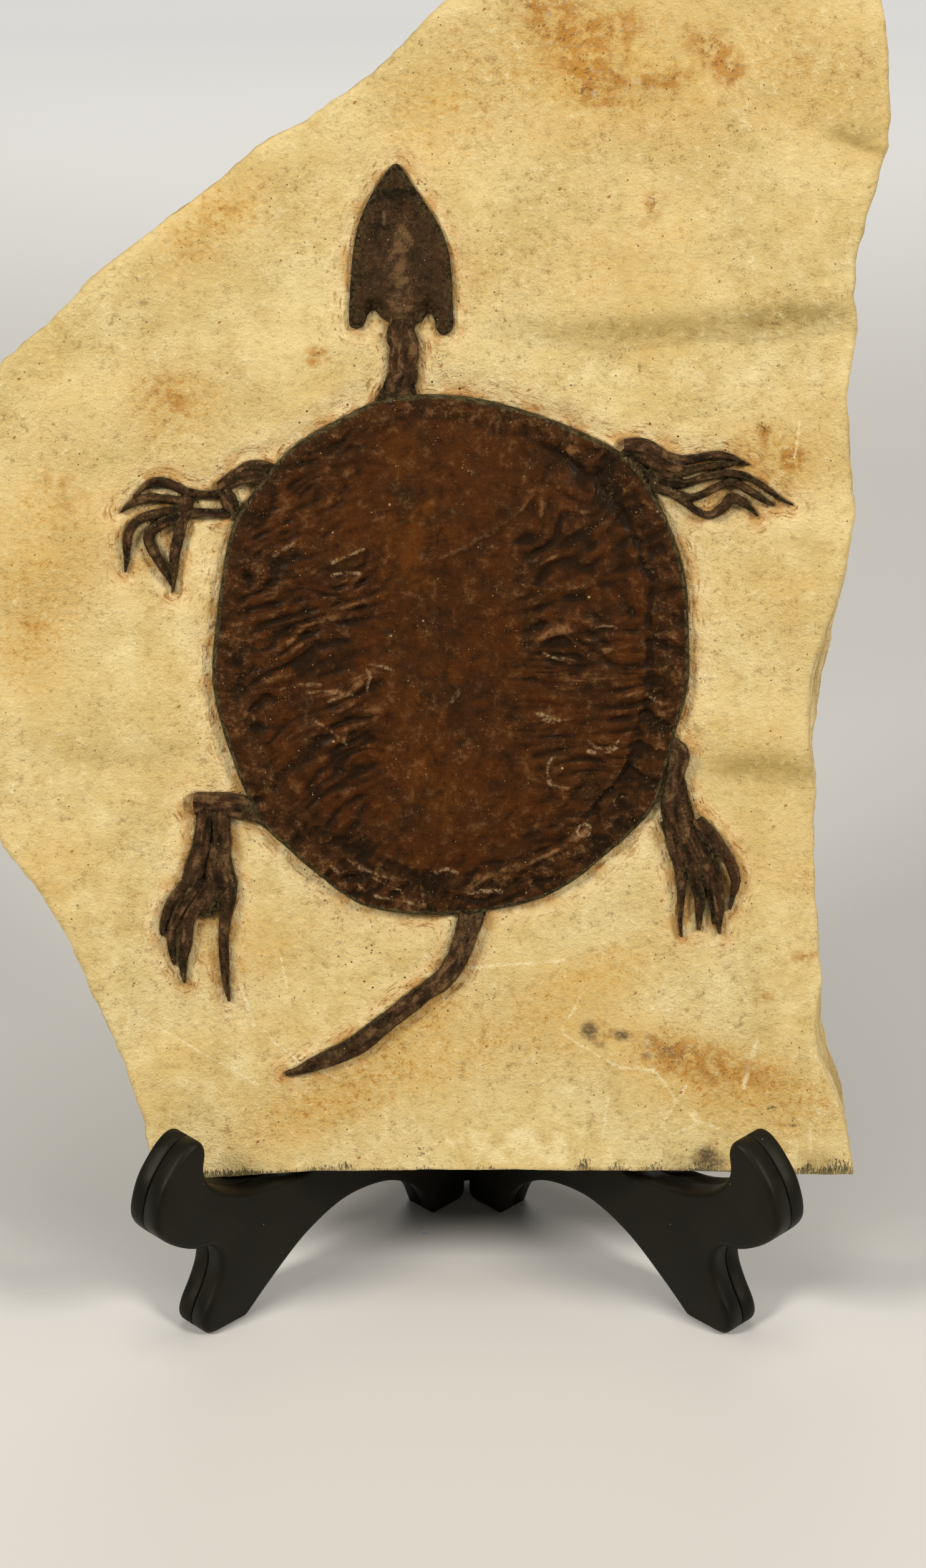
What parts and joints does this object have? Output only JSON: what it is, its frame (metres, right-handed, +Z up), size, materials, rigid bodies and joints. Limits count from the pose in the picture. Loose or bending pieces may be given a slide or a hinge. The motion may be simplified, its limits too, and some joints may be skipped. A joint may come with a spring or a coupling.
{
  "type": "fossil turtle in a stone slab on an easel",
  "caption": "Fossil turtle in low relief on a broken limestone slab, leaning on a folding plate easel with hooked feet.",
  "frame": {"origin": "centre of the bounding box, at the surface that the easel stands on", "axes": "+Z up, -Y to the front, where the turtle faces, +X to the right as it is looked at"},
  "size_m": [0.1996, 0.1018, 0.2931],
  "materials": {
    "limestone": "matte, fine grained, stained with rust",
    "shell_bone": "glossy red-brown fossil bone",
    "dark_bone": "satin dark brown fossil bone",
    "black_plastic": "satin, finely pebbled",
    "steel": "plain drawn wire"
  },
  "bodies": {
    "root": {"slab": "limestone", "shell": "shell_bone", "skull": "dark_bone", "neck": "dark_bone", "tail": "dark_bone", "front_left_limb": "dark_bone", "front_right_limb": "dark_bone", "hind_left_limb": "dark_bone", "hind_right_limb": "dark_bone", "stand_left_inner": "black_plastic", "stand_left_outer": "black_plastic", "stand_right_inner": "black_plastic", "stand_right_outer": "black_plastic", "hinge_pin": "steel"}
  },
  "joints": []
}
